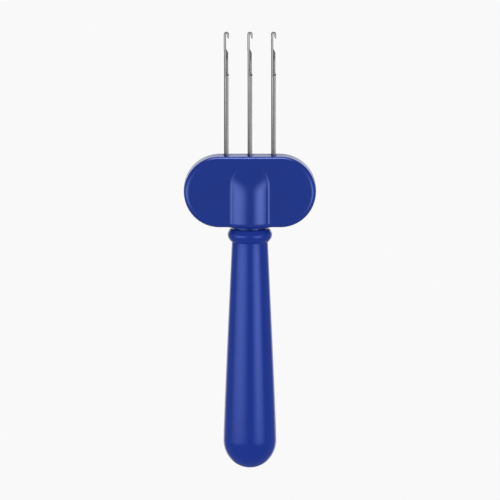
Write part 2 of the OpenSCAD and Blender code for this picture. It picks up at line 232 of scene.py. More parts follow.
def plate(
    outline: list[Vector], low: float, high: float, radius: float, segments: int = 2,
) -> BMesh:
    """A flat plate with softened edges, standing in the XZ plane.

    Args:
        outline: its corners in order, with Y left at nought.
        low: where its front face lies in Y.
        high: where its back face lies in Y.
        radius: the rounding of its edges.
        segments: how many faces go across a rounding.

    Returns:
        A bmesh that holds the plate alone.
    """
    bm = bmesh.new()
    face = Chain(bm, outline[0]).line(*outline[1:]).close().fill()
    bmesh.ops.translate(bm, vec=Y_AXIS * low, verts=bm.verts[:])
    made = bmesh.ops.extrude_face_region(bm, geom=face, use_keep_orig=True)
    moved = [v for v in made["geom"] if isinstance(v, BMVert)]
    bmesh.ops.translate(bm, vec=Y_AXIS * (high - low), verts=moved)
    bmesh.ops.recalc_face_normals(bm, faces=bm.faces[:])
    if radius:
        corners = [e for e in bm.edges if e.calc_face_angle() > CORNER]
        soften(bm, corners, radius, segments)
    return bm


def block(low: Triple, high: Triple, radius: float, segments: int = 2) -> BMesh:
    """A box with softened edges.

    Args:
        low: its lowest corner.
        high: its highest corner.
        radius: the rounding of its edges.
        segments: how many faces go across a rounding.

    Returns:
        A bmesh that holds the box alone.
    """
    bm = bmesh.new()
    middle = Matrix.Translation((Vector(low) + Vector(high)) / 2)
    size = Matrix.Diagonal((*(Vector(high) - Vector(low)), 1))
    bmesh.ops.create_cube(bm, size=1, matrix=middle @ size)
    if radius:
        soften(bm, bm.edges[:], radius, segments)
    return bm


class Rod:
    """A round bar grown ring by ring, such as the wire of a needle."""

    def __init__(self, bm: BMesh, centre: Vector, radius: float, sides: int) -> None:
        """Start the bar with a flat end that faces down.

        Args:
            bm: the bmesh it is grown in.
            centre: the middle of its first ring.
            radius: its radius there.
            sides: how many faces go round it.
        """
        self.bm = bm
        made = bmesh.ops.create_circle(
            bm, cap_ends=True, cap_tris=False, radius=radius, segments=sides,
            matrix=Matrix.Translation(centre),
        )
        self.ring = list({e for v in made["verts"] for e in v.link_edges})

    @property
    def verts(self) -> list[BMVert]:
        """The vertices of the last ring."""
        return list({v for e in self.ring for v in e.verts})

    @property
    def middle(self) -> Vector:
        """The middle of the last ring."""
        verts = self.verts
        return sum((v.co for v in verts), Vector()) / len(verts)

    def grow(self, move: Vector, shrink: float = 1.0) -> "Rod":
        """Add one length of bar.

        Args:
            move: from the last ring's middle to the new one's.
            shrink: the new ring's size over the last one's.

        Returns:
            The bar itself.
        """
        self.ring = pulled(self.bm, self.ring, Vector(move))
        return self.scale(shrink)

    def scale(self, factor: float) -> "Rod":
        """Scale the last ring about its own middle.

        Args:
            factor: its new size over its old one.

        Returns:
            The bar itself.
        """
        space = Matrix.Translation(-self.middle)
        bmesh.ops.scale(self.bm, vec=(factor,) * 3, verts=self.verts, space=space)
        return self

    def tilt(self, degrees: float, axis: Vector) -> "Rod":
        """Turn the last ring about its own middle.

        Args:
            degrees: how far it turns.
            axis: the axis it turns about.

        Returns:
            The bar itself.
        """
        turn = Matrix.Rotation(math.radians(degrees), 3, axis)
        bmesh.ops.rotate(self.bm, cent=self.middle, matrix=turn, verts=self.verts)
        return self

    def bend(self, pivot: Vector, degrees: float, steps: int, axis: Vector) -> "Rod":
        """Carry the bar on round a bend.

        Args:
            pivot: the middle of the bend.
            degrees: how far it turns.
            steps: how many lengths it is made of.
            axis: the axis it turns about.

        Returns:
            The bar itself.
        """
        made = bmesh.ops.spin(
            self.bm, geom=self.verts + self.ring, cent=pivot, axis=axis, dvec=(0, 0, 0),
            angle=math.radians(degrees), steps=steps, space=Matrix.Identity(4),
            use_merge=False, use_normal_flip=False, use_duplicate=False,
        )
        self.ring = [g for g in made["geom_last"] if isinstance(g, BMEdge)]
        return self

    def dome(self, way: Vector, radius: float, steps: int) -> None:
        """Close the bar with a half ball.

        Args:
            way: the direction the end points in.
            radius: the half ball's radius, which is the last ring's.
            steps: how many rings it has.
        """
        way = Vector(way).normalized()
        for step in range(1, steps + 1):
            before, now = (math.radians(90 * k / (steps + 0.5)) for k in (step - 1, step))
            rise = math.sin(now) - math.sin(before)
            self.grow(way * radius * rise, math.cos(now) / math.cos(before))
        self.cap()

    def cap(self) -> None:
        """Close the bar with a flat end."""
        bmesh.ops.edgeloop_fill(self.bm, edges=self.ring)


def gather(*parts: BMesh) -> BMesh:
    """Put several closed shapes into one bmesh.

    Args:
        parts: the shapes, which are freed.

    Returns:
        One bmesh that holds them all.
    """
    whole = bmesh.new()
    for part in parts:
        carrier = bpy.data.meshes.new("carrier")
        bmesh.ops.recalc_face_normals(part, faces=part.faces[:])
        part.to_mesh(carrier)
        part.free()
        whole.from_mesh(carrier)
        bpy.data.meshes.remove(carrier)
    return whole


def carve(body: BMesh, cutter: BMesh) -> BMesh:
    """Take one shape out of another.

    Args:
        body: the shape that is cut, which is freed.
        cutter: what is taken out of it, which is freed.

    Returns:
        A new bmesh with what is left.
    """
    objects = []
    for name, shape in (("carved", body), ("cutter", cutter)):
        bmesh.ops.recalc_face_normals(shape, faces=shape.faces[:])
        mesh = bpy.data.meshes.new(name)
        shape.to_mesh(mesh)
        shape.free()
        objects.append(bpy.data.objects.new(name, mesh))
        bpy.context.scene.collection.objects.link(objects[-1])
    carved, tool = objects
    cut = carved.modifiers.new("cut", "BOOLEAN")
    cut.operation, cut.solver, cut.object = "DIFFERENCE", "EXACT", tool
    cut.use_self = True
    seen = carved.evaluated_get(bpy.context.evaluated_depsgraph_get())
    made = bpy.data.meshes.new_from_object(seen)
    left = bmesh.new()
    left.from_mesh(made)
    for each in objects:
        mesh = each.data
        bpy.data.objects.remove(each)
        bpy.data.meshes.remove(mesh)
    bpy.data.meshes.remove(made)
    return left


def marked(bm: BMesh, name: str, value: float = 1.0) -> BMesh:
    """Set a vertex attribute over a whole shape.

    Args:
        bm: the shape.
        name: the attribute's name.
        value: the value that each vertex gets.

    Returns:
        The same shape.
    """
    layer = bm.verts.layers.float.new(name)
    for v in bm.verts:
        v[layer] = value
    return bm


def finish_piece(
    bm: BMesh, name: str, body: str, look: Material,
    stands_for: tuple[str, ...], crease: float = 32, flat_faces: bool = False,
) -> Object:
    """Turn a shape into a piece of the model.

    Args:
        bm: the shape in millimetres, which is freed.
        name: the piece's name.
        body: the CAD body that it rides on.
        look: its material.
        stands_for: the CAD nodes that it replaces.
        crease: edges that turn more than this many degrees stay sharp.
        flat_faces: whether its large faces keep flat shading up to their roundings.

    Returns:
        The new object.
    """
    bmesh.ops.remove_doubles(bm, verts=bm.verts[:], dist=CLOSE)
    bmesh.ops.recalc_face_normals(bm, faces=bm.faces[:])
    bmesh.ops.scale(bm, vec=(METRES,) * 3, verts=bm.verts[:])
    loose = sum(len(e.link_faces) != 2 for e in bm.edges)
    mesh = bpy.data.meshes.new(name)
    bm.to_mesh(mesh)
    bm.free()
    mesh.shade_smooth()
    mesh.set_sharp_from_angle(angle=math.radians(crease))
    mesh.materials.append(look)
    piece = bpy.data.objects.new(name, mesh)
    bpy.context.scene.collection.objects.link(piece)
    if flat_faces:
        weighted = piece.modifiers.new("flat_faces", "WEIGHTED_NORMAL")
        weighted.keep_sharp = True
    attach(piece, body)
    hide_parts(*stands_for)
    LOG.info("%s: %d faces, %d open edges, on %s", name, len(mesh.polygons), loose, body)
    return piece


# ---------------------------------------------------------------------------------------------
# Finishes


class Wiring:
    """Short ways of placing nodes in one node tree."""

    def __init__(self, tree: NodeTree) -> None:
        """Take a tree and empty it."""
        self.tree = tree
        tree.nodes.clear()

    def node(self, kind: str, **values: object) -> Node:
        """Place a node.

        Args:
            kind: the node's type without the ShaderNode in front.
            values: settings by attribute name, or socket values by socket name.

        Returns:
            The node.
        """
        family = "NodeGroup" if kind in ("Input", "Output") else "ShaderNode"
        made = self.tree.nodes.new(family + kind)
        for key, value in values.items():
            if hasattr(made, key):
                setattr(made, key, value)
            else:
                self.feed(made.inputs[key.title()], value)
        return made

    def feed(self, socket: NodeSocket, value: object) -> None:
        """Give a socket a number, a colour or a link.

        Args:
            socket: the input.
            value: what it gets; an output socket is linked to it.
        """
        if isinstance(value, NodeSocket):
            self.tree.links.new(value, socket)
        else:
            socket.default_value = value

    def math(self, operation: str, first: object, second: object = 0.0) -> NodeSocket:
        """Work out a sum of two values.

        Args:
            operation: the Math node's operation.
            first: the first value or socket.
            second: the second one.

        Returns:
            The answer's socket.
        """
        made = self.node("Math", operation=operation)
        self.feed(made.inputs[0], first)
        self.feed(made.inputs[1], second)
        return made.outputs[0]

    def span(
        self, value: object, low: float, high: float, to_low: float, to_high: float,
        ease: str = "LINEAR",
    ) -> NodeSocket:
        """Map a value from one range to another, held at its ends.

        Args:
            value: the value or socket.
            low: where its range starts.
            high: where its range ends.
            to_low: the answer at the start.
            to_high: the answer at the end.
            ease: how the answer goes from one to the other.

        Returns:
            The answer's socket.
        """
        made = self.node("MapRange", clamp=True, interpolation_type=ease)
        for socket, given in zip(made.inputs, (value, low, high, to_low, to_high)):
            self.feed(socket, given)
        return made.outputs[0]

    def blend(self, factor: object, first: object, second: object) -> NodeSocket:
        """Mix two colours.

        Args:
            factor: the second colour's share.
            first: the first colour or socket.
            second: the second one.

        Returns:
            The mixed colour's socket.
        """
        made = self.node("Mix", data_type="RGBA")
        for index, given in ((MIX_FACTOR, factor), (MIX_FIRST, first), (MIX_SECOND, second)):
            self.feed(made.inputs[index], given)
        return made.outputs[MIX_ANSWER]

    def choose(self, switch: NodeSocket, off: object, on: object) -> NodeSocket:
        """Take one value where a switch is nought and another where it is one.

        Args:
            switch: the switch's socket.
            off: the value or socket where it is nought.
            on: the value or socket where it is one.

        Returns:
            The answer's socket.
        """
        kept = self.math("MULTIPLY", self.math("SUBTRACT", 1.0, switch), off)
        return self.math("ADD", kept, self.math("MULTIPLY", switch, on))


def effect(
    name: str, takes: dict[str, float], gives: tuple[str, ...],
) -> tuple[NodeTree, Wiring]:
    """Start a shader node group.

    Args:
        name: the group's name.
        takes: its inputs with their defaults.
        gives: its outputs.

    Returns:
        The group and the wiring of its inside.
    """
    tree = bpy.data.node_groups.new(name, "ShaderNodeTree")
    for key, default in takes.items():
        made = tree.interface.new_socket(key, in_out="INPUT", socket_type="NodeSocketFloat")
        made.default_value = default
    for key in gives:
        tree.interface.new_socket(key, in_out="OUTPUT", socket_type="NodeSocketFloat")
    return tree, Wiring(tree)


class Effects:
    """The effects that the finishes share, each a node group that is built once."""

    GRAIN_HEIGHT = 0.12  # the grain's height over the waves' height
    EDGE = (0.995, 0.88)  # the cosine to the rounded normal where wear starts and where it is full
    PATCH = (0.42, 0.62)  # the noise where a worn patch starts and where it is full

    def __init__(self) -> None:
        """Build every group."""
        self.skin = self._skin()
        self.rub = self._rub()
        self.drawn = self._drawn()

    @staticmethod
    def _skin() -> NodeTree:
        """Slow waves and fine grain of a surface from a mould or a polishing wheel.

        Returns:
            The group.
        """
        takes, gives = {"Grain": 2500, "Waves": 90}, ("Grain", "Waves", "Height")
        tree, wires = effect("surface_skin", takes, gives)
        inputs, out = wires.node("Input"), wires.node("Output")
        where = wires.node("TexCoord").outputs["Object"]
        grain, waves = (
            wires.node(
                "TexNoise", vector=where, scale=inputs.outputs[size], detail=fine, roughness=rough,
            ).outputs[0]
            for size, fine, rough in (("Grain", 3.0, 0.6), ("Waves", 2.0, 0.45))
        )
        height = wires.math("ADD", wires.math("MULTIPLY", grain, Effects.GRAIN_HEIGHT), waves)
        for name, value in zip(gives, (grain, waves, height)):
            wires.feed(out.inputs[name], value)
        return tree

    @staticmethod
    def _rub() -> NodeTree:
        """Where edges have been rubbed by hands and by the table.

        Returns:
            The group.
        """
        tree, wires = effect("edge_rub", {"Reach": 0.0003, "Patches": 400}, ("Mask",))
        inputs, out = wires.node("Input"), wires.node("Output")
        round_off = wires.node("Bevel", samples=4, radius=inputs.outputs["Reach"])
        facing = wires.node("VectorMath", operation="DOT_PRODUCT")
        wires.feed(facing.inputs[0], round_off.outputs[0])
        wires.feed(facing.inputs[1], wires.node("NewGeometry").outputs["Normal"])
        where = wires.node("TexCoord").outputs["Object"]
        patches = wires.node("TexNoise", vector=where, scale=inputs.outputs["Patches"], detail=4.0)
        edge = wires.span(facing.outputs["Value"], *Effects.EDGE, 0.0, 1.0)
        worn = wires.span(patches.outputs[0], *Effects.PATCH, 0.0, 1.0)
        wires.feed(out.inputs["Mask"], wires.math("MULTIPLY", edge, worn))
        return tree

    @staticmethod
    def _drawn() -> NodeTree:
        """Fine lines along Z, as drawing and brushing leave them on metal.

        Returns:
            The group.
        """
        tree, wires = effect("drawn_lines", {"Across": 9000, "Along": 160}, ("Lines",))
        inputs, out = wires.node("Input"), wires.node("Output")
        stretch = wires.node("CombineXYZ")
        for index, key in enumerate(("Across", "Across", "Along")):
            wires.feed(stretch.inputs[index], inputs.outputs[key])
        spot = wires.node("VectorMath", operation="MULTIPLY")
        wires.feed(spot.inputs[0], wires.node("TexCoord").outputs["Object"])
        wires.feed(spot.inputs[1], stretch.outputs[0])
        where = spot.outputs[0]
        drawn = wires.node("TexNoise", vector=where, scale=1.0, detail=2.0, roughness=0.5)
        wires.feed(out.inputs["Lines"], drawn.outputs[0])
        return tree


@dataclass(frozen=True)
class Finish:
    """What every finish has: a name, two close colours and a range of roughness."""

    name: str
    colour: Triple
    worn: Triple
    smooth: float
    rough: float

    def start(self) -> tuple[Material, Wiring, Node]:
        """Make the material with its Principled shader wired to the output.

        Returns:
            The material, the wiring of its nodes and its shader.
        """
        material = bpy.data.materials.new(self.name)
        material.use_nodes = True
        wires = Wiring(material.node_tree)
        shader = wires.node("BsdfPrincipled")
        output = wires.node("OutputMaterial")
        wires.feed(output.inputs["Surface"], shader.outputs[0])
        return material, wires, shader

    @staticmethod
    def place(wires: Wiring, group: NodeTree, **values: float) -> Node:
        """Place a shared effect with its own values.

        Args:
            wires: the wiring of the material.
            group: the effect.
            values: the values of its inputs, by their names in small letters.

        Returns:
            The group's node.
        """
        made = wires.node("Group", node_tree=group)
        for key, value in values.items():
            made.inputs[key.title()].default_value = value
        return made

    @staticmethod
    def bump(
        wires: Wiring, shader: Node, height: NodeSocket, distance: float, strength: float,
    ) -> None:
        """Feed a height to the shader's normal.

        Args:
            wires: the wiring of the material.
            shader: its shader.
            height: the height's socket.
            distance: what a height of one stands for, in metres.
            strength: how much of it is kept.
        """
        made = wires.node("Bump")
        made.inputs["Strength"].default_value = strength
        made.inputs["Distance"].default_value = distance
        wires.feed(made.inputs["Height"], height)
        wires.feed(shader.inputs["Normal"], made.outputs[0])


@dataclass(frozen=True)
class MouldedPlastic(Finish):
    """Glossy injection-moulded plastic: faint waves, fine grain, and edges rubbed a little dull."""

    grain: float = 2600
    waves: float = 110
    ripple: float = 0.00002
    ripple_strength: float = 0.35
    refraction: float = 1.5
    sheen: Triple = (1, 1, 1)
    rub_reach: float = 0.00035
    rub_patches: float = 500
    rub_share: float = 0.35
    rub_dull: float = 0.4
    deep_tone: float = 0.9
    deep_share: float = 0.5

    def material(self, effects: Effects) -> Material:
        """Build the material.

        Args:
            effects: the shared node groups.

        Returns:
            The material.
        """
        material, wires, shader = self.start()
        shader.inputs["IOR"].default_value = self.refraction
        shader.inputs["Specular Tint"].default_value = (*self.sheen, 1)
        skin = self.place(wires, effects.skin, grain=self.grain, waves=self.waves)
        rub = self.place(wires, effects.rub, reach=self.rub_reach, patches=self.rub_patches)
        shade = wires.span(skin.outputs["Waves"], *NOISE, 0.0, self.deep_share)
        deep = tuple(self.deep_tone * c for c in self.colour)
        body = wires.blend(shade, (*self.colour, 1), (*deep, 1))
        rubbed = wires.math("MULTIPLY", rub.outputs["Mask"], self.rub_share)
        wires.feed(shader.inputs["Base Color"], wires.blend(rubbed, body, (*self.worn, 1)))
        gloss = wires.span(skin.outputs["Grain"], *GRAIN_NOISE, self.smooth, self.rough)
        duller = wires.math("MULTIPLY", rubbed, self.rub_dull)
        wires.feed(shader.inputs["Roughness"], wires.math("ADD", gloss, duller))
        self.bump(wires, shader, skin.outputs["Height"], self.ripple, self.ripple_strength)
        return material


@dataclass(frozen=True)
class Metal(Finish):
    """Drawn or plated steel: fine lines along it, a mottled polish and bright rubbed edges.

    The vertex attribute ROLLED says where it is lighter and duller; a second one says where it is
    painted near black, a painted shade that stands in for the dark reflections on the wire's
    flanks.
    """

    across: float = 9000
    along: float = 160
    depth: float = 0.000004
    depth_strength: float = 0.4
    lines_share: float = 0.6
    grain: float = 4200
    waves: float = 420
    mottle_tone: float = 0.86
    mottle_share: float = 0.6
    rub_reach: float = 0.00012
    rub_patches: float = 1500
    rub_share: float = 0.6
    rolled: Triple = (0.92, 0.92, 0.92)
    rolled_dull: float = 0.0
    satin: float = 0.0
    # The near-black colour that marked bands are painted in: painted shade standing in for dark
    # reflections.
    dark_paint: Triple = (0.05, 0.05, 0.052)

    def material(self, effects: Effects) -> Material:
        """Build the material.

        Args:
            effects: the shared node groups.

        Returns:
            The material.
        """
        material, wires, shader = self.start()
        skin = self.place(wires, effects.skin, grain=self.grain, waves=self.waves)
        rub = self.place(wires, effects.rub, reach=self.rub_reach, patches=self.rub_patches)
        drawn = self.place(wires, effects.drawn, across=self.across, along=self.along)
        waves, lines = skin.outputs["Waves"], drawn.outputs[0]
        mottle = wires.span(waves, *NOISE, 0.0, self.mottle_share)
        dim = tuple(self.mottle_tone * c for c in self.colour)
        body = wires.blend(mottle, (*self.colour, 1), (*dim, 1))
        bright = wires.math("MULTIPLY", rub.outputs["Mask"], self.rub_share)
        metal = wires.blend(bright, body, (*self.worn, 1))
        rolled = wires.node("Attribute", attribute_name=ROLLED).outputs["Fac"]
        # Painted shade: the colour is blended towards the near-black paint wherever the
        # painted-dark attribute is set.
        painted_dark = wires.node("Attribute", attribute_name=PAINTED_DARK).outputs["Fac"]
        wires.feed(shader.inputs["Metallic"], wires.span(rolled, 0, 1, 1, 1 - self.satin))
        light = wires.blend(rolled, metal, (*self.rolled, 1))
        wires.feed(shader.inputs["Base Color"], wires.blend(painted_dark, light, (*self.dark_paint, 1)))
        polish = wires.math(
            "ADD", wires.math("MULTIPLY", lines, self.lines_share),
            wires.math("MULTIPLY", waves, 1 - self.lines_share),
        )
        gloss = wires.span(polish, *NOISE, self.smooth, self.rough)
        duller = wires.math("MULTIPLY", rolled, self.rolled_dull)
        wires.feed(shader.inputs["Roughness"], wires.math("ADD", gloss, duller))
        self.bump(wires, shader, lines, self.depth, self.depth_strength)
        return material


BLUE = MouldedPlastic(
    "glossy_blue_plastic", (0.0095, 0.0355, 0.295), (0.06, 0.13, 0.42), 0.1, 0.17,
    refraction=2.02, sheen=(0.33, 0.44, 1),
)
# The grip takes a copy of the covers' blue that is a little lighter and reflects a little less, so
# that it comes out lighter than the head.
GRIP_BLUE = replace(
    BLUE, name="glossy_blue_grip_plastic", colour=(0.0095, 0.037, 0.316), refraction=1.77,
)
DARK = MouldedPlastic("dark_bed_plastic", (0.02, 0.021, 0.024), (0.07, 0.07, 0.075), 0.35, 0.5)
NEEDLE = Metal(
    "polished_needle_steel", (0.68, 0.68, 0.685), (0.72, 0.72, 0.72), 0.08, 0.13,
    rolled_dull=0.24, satin=0.5,
)
BRIGHT = Metal("bright_pin_steel", (0.62, 0.62, 0.63), (0.78, 0.78, 0.78), 0.16, 0.3)
ZINC = Metal("zinc_plated_steel", (0.56, 0.57, 0.6), (0.74, 0.74, 0.74), 0.26, 0.42)


# ---------------------------------------------------------------------------------------------
# The handle


@dataclass
class Handle:
    """The blue grip, from its domed butt to the bead below the head, and the neck ring."""

    butt_radius: float = 10.1
    butt_turn: float = 92.396
    butt_steps: int = 28
    butt_stretch: float = 1.055
    swell: float = 0.13
    swell_skew: float = 0.55
    taper_steps: int = 16
    waist_radius: float = 6.9
    bead_radius: float = 8.5
    bead_height: float = 89.5713
    bead_low_round: float = 3.2
    bead_top_round: float = 2.1
    bead_steps: int = 14
    shoulder_tilt: float = 27
    shoulder_end: float = 91.4
    lip_round: float = 0.75
    round_steps: int = 6
    bore_radius: float = 3.01
    bore_bottom: float = 41.1365
    crease_round: float = 0.22
    crease_steps: int = 4
    neck_radius: float = 6.2
    ring_radius: float = 7.8
    ring_low: float = 92.5
    ring_top: float = 92.8865
    ring_round: float = 0.15
    around: int = 144

    def grip_shape(self) -> BMesh:
        """Spin the grip's outline round its axis.

        Returns:
            The grip in millimetres.
        """
        bm = bmesh.new()
        low_x, top_x = (self.bead_radius - r for r in (self.bead_low_round, self.bead_top_round))
        waist_rise = math.acos((self.waist_radius - low_x) / self.bead_low_round)
        shaft_top = self.bead_height - self.bead_low_round * math.sin(waist_rise)
        tilt = math.radians(self.shoulder_tilt)
        chain = Chain(bm, Vector())
        chain.arc(at(0, self.butt_radius), self.butt_turn, self.butt_steps)
        middle = Matrix.Translation((0, 0, -self.butt_radius))
        bmesh.ops.scale(bm, vec=(1, 1, self.butt_stretch), space=middle, verts=bm.verts[:])
        foot = chain.tip.co.copy()
        waist = at(self.waist_radius, shaft_top)
        for step in range(1, self.taper_steps + 1):
            share = step / self.taper_steps
            swell = X_AXIS * self.swell * math.sin(math.pi * share**self.swell_skew)
            chain.line(foot.lerp(waist, share) + swell)
        chain.arc(at(low_x, self.bead_height), math.degrees(waist_rise), self.bead_steps)
        chain.arc(at(top_x, self.bead_height), self.shoulder_tilt, self.round_steps)
        rise = self.shoulder_end - chain.tip.co.z
        chain.line(chain.tip.co + at(-math.tan(tilt), 1) * rise)
        lip_middle = chain.tip.co - at(math.cos(tilt), math.sin(tilt)) * self.lip_round
        chain.arc(lip_middle, 90 - self.shoulder_tilt, self.round_steps)
        chain.line(
            at(self.bore_radius, chain.tip.co.z), at(self.bore_radius, self.bore_bottom),
            at(0, self.bore_bottom),
        )
        full_turn(bm, chain, self.around)
        bmesh.ops.recalc_face_normals(bm, faces=bm.faces[:])
        crease = [e for e in bm.edges if all(abs(v.co.z - shaft_top) < CLOSE for v in e.verts)]
        soften(bm, crease, self.crease_round, self.crease_steps)
        return bm

    def ring_shape(self) -> BMesh:
        """Spin the outline of the ring and of the short neck below it round their axis.

        Returns:
            The ring in millimetres.
        """
        bm = bmesh.new()
        inner, outer = self.bore_radius, self.ring_radius - self.ring_round
        low, high = self.ring_low, self.ring_top
        chain = Chain(bm, at(inner, self.shoulder_end)).line(
            at(self.neck_radius, self.shoulder_end), at(self.neck_radius, low), at(outer, low),
        )
        chain.arc(at(outer, low + self.ring_round), 90, self.round_steps)
        chain.line(at(self.ring_radius, high - self.ring_round))
        chain.arc(at(outer, high - self.ring_round), 90, self.round_steps)
        chain.line(at(inner, high)).close()
        full_turn(bm, chain, self.around)
        return bm

    def build(self, look: Material) -> None:
        """Make and dress the grip and the ring."""
        finish_piece(self.grip_shape(), "moulded_grip", "tool", look, ("grip",))
        finish_piece(self.ring_shape(), "neck_collar", "tool", look, ("neck_ring",))


# ---------------------------------------------------------------------------------------------
# The head


@dataclass
class Head:
    """The two moulded covers that close on the needles, and the two screws behind them."""

    middle: float = 106.437
    radius: float = 13.7
    end: float = 11.6
    half: float = 6
    wall: float = 2
    wall_steps: int = 4
    crown: float = 110
    rim: float = 1.8
    rim_gap: float = 0.1
    rim_steps: int = 12
    face_inset: float = 0.04
    seam: float = 0.14
    seam_steps: int = 2
    around: int = 144
    bond: float = 0.01
    past: float = 1
    post: float = 17.25
    post_radius: float = 3.5
    post_around: int = 48
    screw_bore: float = 1.45
    sink_radius: float = 2.5
    sink_lead: float = 0.15
    sink_overlap: float = 0.1
    socket_half: float = 6
    socket_top: float = 102.687
    socket_low: float = 0.02
    socket_round: float = 0.15
    tang_radius: float = 3
    pitch: float = 9
    window_half: float = 1.35
    window_depth: float = 1.3
    window_round: float = 0.12
    boss_half: float = 7.9
    boss_arch: float = 2.65
    boss_proud: float = 2.65
    boss_side: float = 4.2
    boss_foot: float = 2
    boss_slope: float = 41
    boss_ramp: float = 20
    boss_ramp_slope: float = 20
    boss_sunk: float = 0.01
    boss_root: float = 1.85
    arc_steps: int = 9
    crown_steps: int = 20
    ramp_steps: int = 8
    tip_steps: int = 30
    screw_head_radius: float = 2.3
    screw_head_height: float = 1.6
    screw_head_round: float = 0.55
    screw_head_steps: int = 6
    screw_radius: float = 1.25
    screw_reach: float = 3.2
    screw_point: float = 0.8
    screw_around: int = 64
    cross: Triple = (2.6, 0.6, 0.9)
    cross_narrowed: Triple = (0.45, 0.7, 1)
    cross_turn: float = 18

    def facing(self, side: Side) -> Matrix:
        """From a cover lying on its parting face to its place in the head.

        Args:
            side: which cover it is.

        Returns:
            The matrix.
        """
        upright = Matrix.Rotation(math.radians(90), 4, "X")
        turn = Matrix.Rotation(math.radians(side.value), 4, "Z") @ upright
        return Matrix.Translation((0, 0, self.middle)) @ turn

    def tray(self) -> BMesh:
        """A hollow half of the head without its boss, lying on its parting face.

        Returns:
            The tray in millimetres.
        """
        bm = bmesh.new()
        bmesh.ops.create_circle(
            bm, cap_ends=True, cap_tris=False, radius=self.radius, segments=self.around,
            matrix=Matrix.Rotation(math.pi / self.around, 4, "Z"),
        )
        for way in (-1, 1):
            end = [v for v in bm.verts if v.co.x * way > 0]
            bmesh.ops.translate(bm, vec=X_AXIS * self.end * way, verts=end)
        lid, straight = bm.faces[:], self.half - self.rim - self.rim_gap
        levels = [straight * k / self.wall_steps for k in range(self.wall_steps + 1)]
        levels.append(self.half)
        for before, now in zip(levels, levels[1:]):
            made = bmesh.ops.extrude_face_region(bm, geom=lid, use_keep_orig=not before)
            if before:
                bmesh.ops.delete(bm, geom=lid, context="FACES_ONLY")
            lid = [g for g in made["geom"] if isinstance(g, BMFace)]
            for v in {v for f in lid for v in f.verts}:
                inward = self._rim_way(v.co) * (before**2 - now**2) / (2 * self.crown)
                bmesh.ops.translate(bm, vec=inward + Z_AXIS * (now - before), verts=[v])
        bmesh.ops.recalc_face_normals(bm, faces=bm.faces[:])
        self._hollow(bm)
        soften(bm, self._outline(bm, self.half), self.rim, self.rim_steps)
        soften(bm, self._outline(bm, 0), self.seam, self.seam_steps)
        face = max(bm.faces, key=lambda f: (round(f.calc_center_median().z, 3), f.calc_area()))
        self._inset(bm, face, self.face_inset)
        return bm

    def _hollow(self, bm: BMesh) -> None:
        """Sink the parting face of a solid tray until one wall is left all round.

        Args:
            bm: the tray.
        """
        floor = next(f for f in bm.faces if f.calc_center_median().z < CLOSE)
        self._inset(bm, floor, self.wall)
        made = bmesh.ops.extrude_face_region(bm, geom=[floor])
        bmesh.ops.delete(bm, geom=[floor], context="FACES_ONLY")
        inside = [v for v in made["geom"] if isinstance(v, BMVert)]
        bmesh.ops.translate(bm, vec=Z_AXIS * (self.half - self.wall), verts=inside)
        bmesh.ops.recalc_face_normals(bm, faces=bm.faces[:])

    @staticmethod
    def _inset(bm: BMesh, face: BMFace, width: float) -> None:
        """Draw a border of one width inside a face.

        Args:
            bm: the bmesh.
            face: which face.
            width: the border's width.
        """
        bmesh.ops.inset_region(
            bm, faces=[face], thickness=width, use_even_offset=True, use_boundary=True,
        )

    def _outline(self, bm: BMesh, height: float) -> list[BMEdge]:
        """Find a tray's outer outline.

        Args:
            bm: the tray.
            height: where the outline lies above the parting face.

        Returns:
            Its edges.
        """
        outer = {
            v for v in bm.verts
            if abs(v.co.z - height) < CLOSE and self._rim_distance(v.co) > -self.wall / 2
        }
        return [e for e in bm.edges if outer.issuperset(e.verts)]

    def _beyond(self, point: Vector) -> Vector:
        """From the nearest point of the line between the head's two end centres to a point."""
        return Vector((math.copysign(max(abs(point.x) - self.end, 0), point.x), point.y, 0))

    def _rim_distance(self, point: Vector) -> float:
        """How far a point lies outside the head's outline, with less than nought inside it."""
        return self._beyond(point).length - self.radius

    def _rim_way(self, point: Vector) -> Vector:
        """The direction that the head's outline faces beside a point."""
        return self._beyond(point).normalized()

    def openings(self, side: Side) -> BMesh:
        """What is cut out of a cover: needle windows, the tang's channel and the screw sinks.

        Args:
            side: which cover it is; only the back one has sinks.

        Returns:
            The cutters in one bmesh, lying as the tray does.
        """
        parts = []
        for place in Place:
            x = place.value * self.pitch
            parts.append(block(
                (x - self.window_half, self.radius - self.wall - self.past, -self.past),
                (x + self.window_half, self.radius + self.past, self.window_depth),
                self.window_round,
            ))
        channel = bmesh.new()
        centre = Matrix.Translation((0, self.wall / 2 - self.radius, 0))
        bmesh.ops.create_cone(
            channel, cap_ends=True, cap_tris=False, segments=self.post_around,
            radius1=self.tang_radius, radius2=self.tang_radius, depth=self.wall + 2 * self.past,
            matrix=centre @ Matrix.Rotation(math.pi / 2, 4, "X"),
        )
        parts.append(channel)
        if side is Side.BACK:
            parts += [self.sink(way * self.post) for way in (-1, 1)]
        return gather(*parts)

    def sink(self, x: float) -> BMesh:
        """The cutter of one screw sink, with a small lead-in at the mouth.

        Args:
            x: where the sink stands across the head.

        Returns:
            The cutter, lying as the tray does.
        """
        bm = bmesh.new()
        low, high = self.half - self.wall - self.sink_overlap, self.half + self.past
        bore, mouth = self.sink_radius, self.sink_radius + self.sink_lead
        chain = Chain(bm, at(0, low)).line(
            at(bore, low), at(bore, self.half - self.sink_lead), at(mouth, self.half + CLOSE),
            at(mouth, high), at(0, high),
        )
        full_turn(bm, chain, self.screw_around)
        shift(bm, X_AXIS * x)
        return bm

